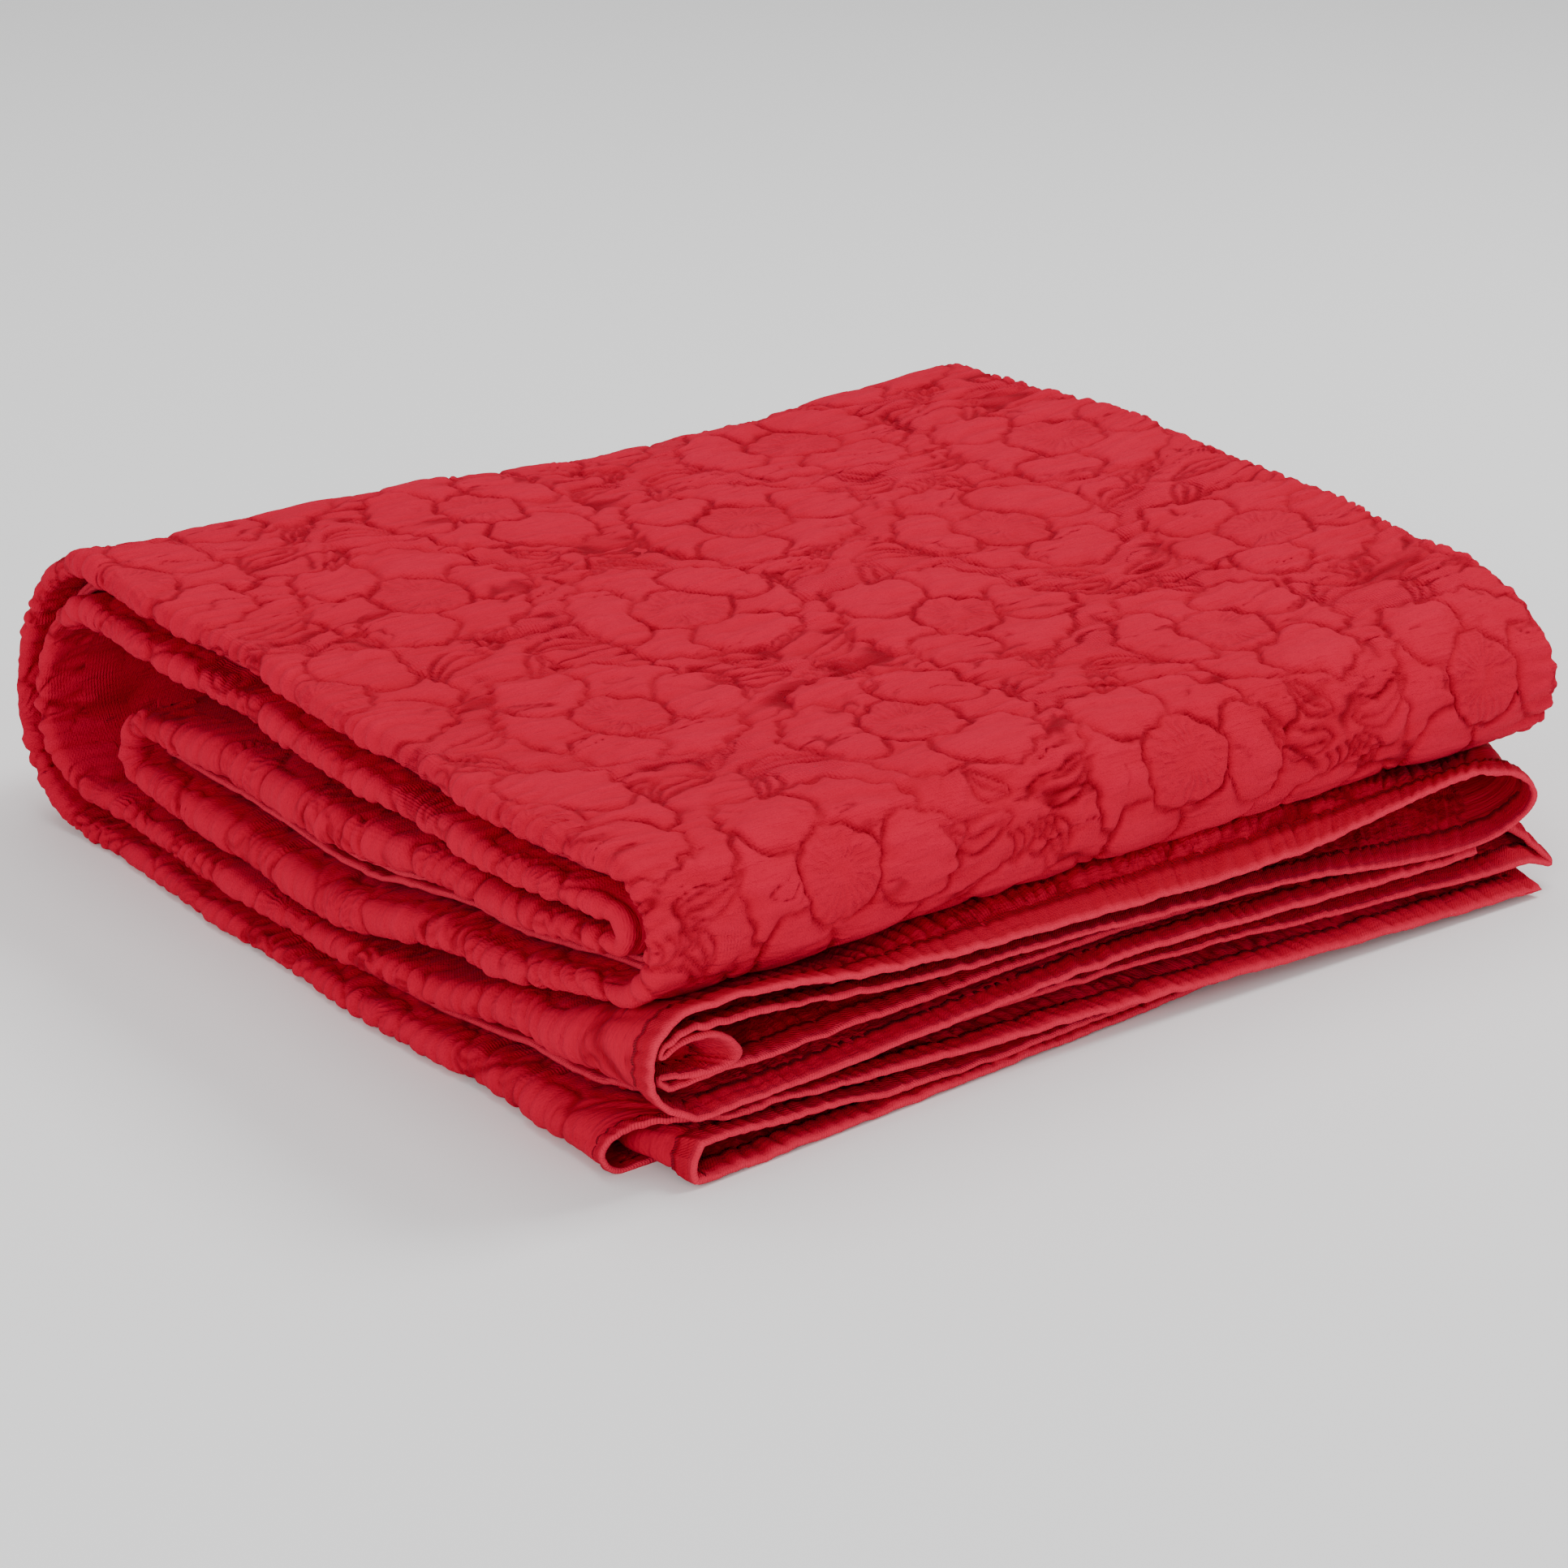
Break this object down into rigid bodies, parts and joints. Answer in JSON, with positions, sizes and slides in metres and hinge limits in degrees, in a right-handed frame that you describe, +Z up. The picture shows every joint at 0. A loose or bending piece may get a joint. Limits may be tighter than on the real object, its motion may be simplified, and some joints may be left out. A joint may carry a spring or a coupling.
{
  "type": "folded quilted throw blanket",
  "caption": "Quilted cotton throw blanket, one sheet with turned hems, rolled to a strip, doubled and folded in three into a soft block.",
  "frame": {"origin": "middle of the folded block's underside, on the surface it rests on", "axes": "+X along the front face, which holds the hems, and the block's longest side; +Y from that front to the back; +Z up through the fewest millimetres"},
  "size_m": [0.4436, 0.4148, 0.121],
  "materials": {
    "quilted_cotton": "matte stonewashed cotton, red, quilted in raised flowers and leaves, with a turned and stitched hem"
  },
  "bodies": {
    "root": {"quilted_throw": "quilted_cotton"}
  },
  "joints": []
}
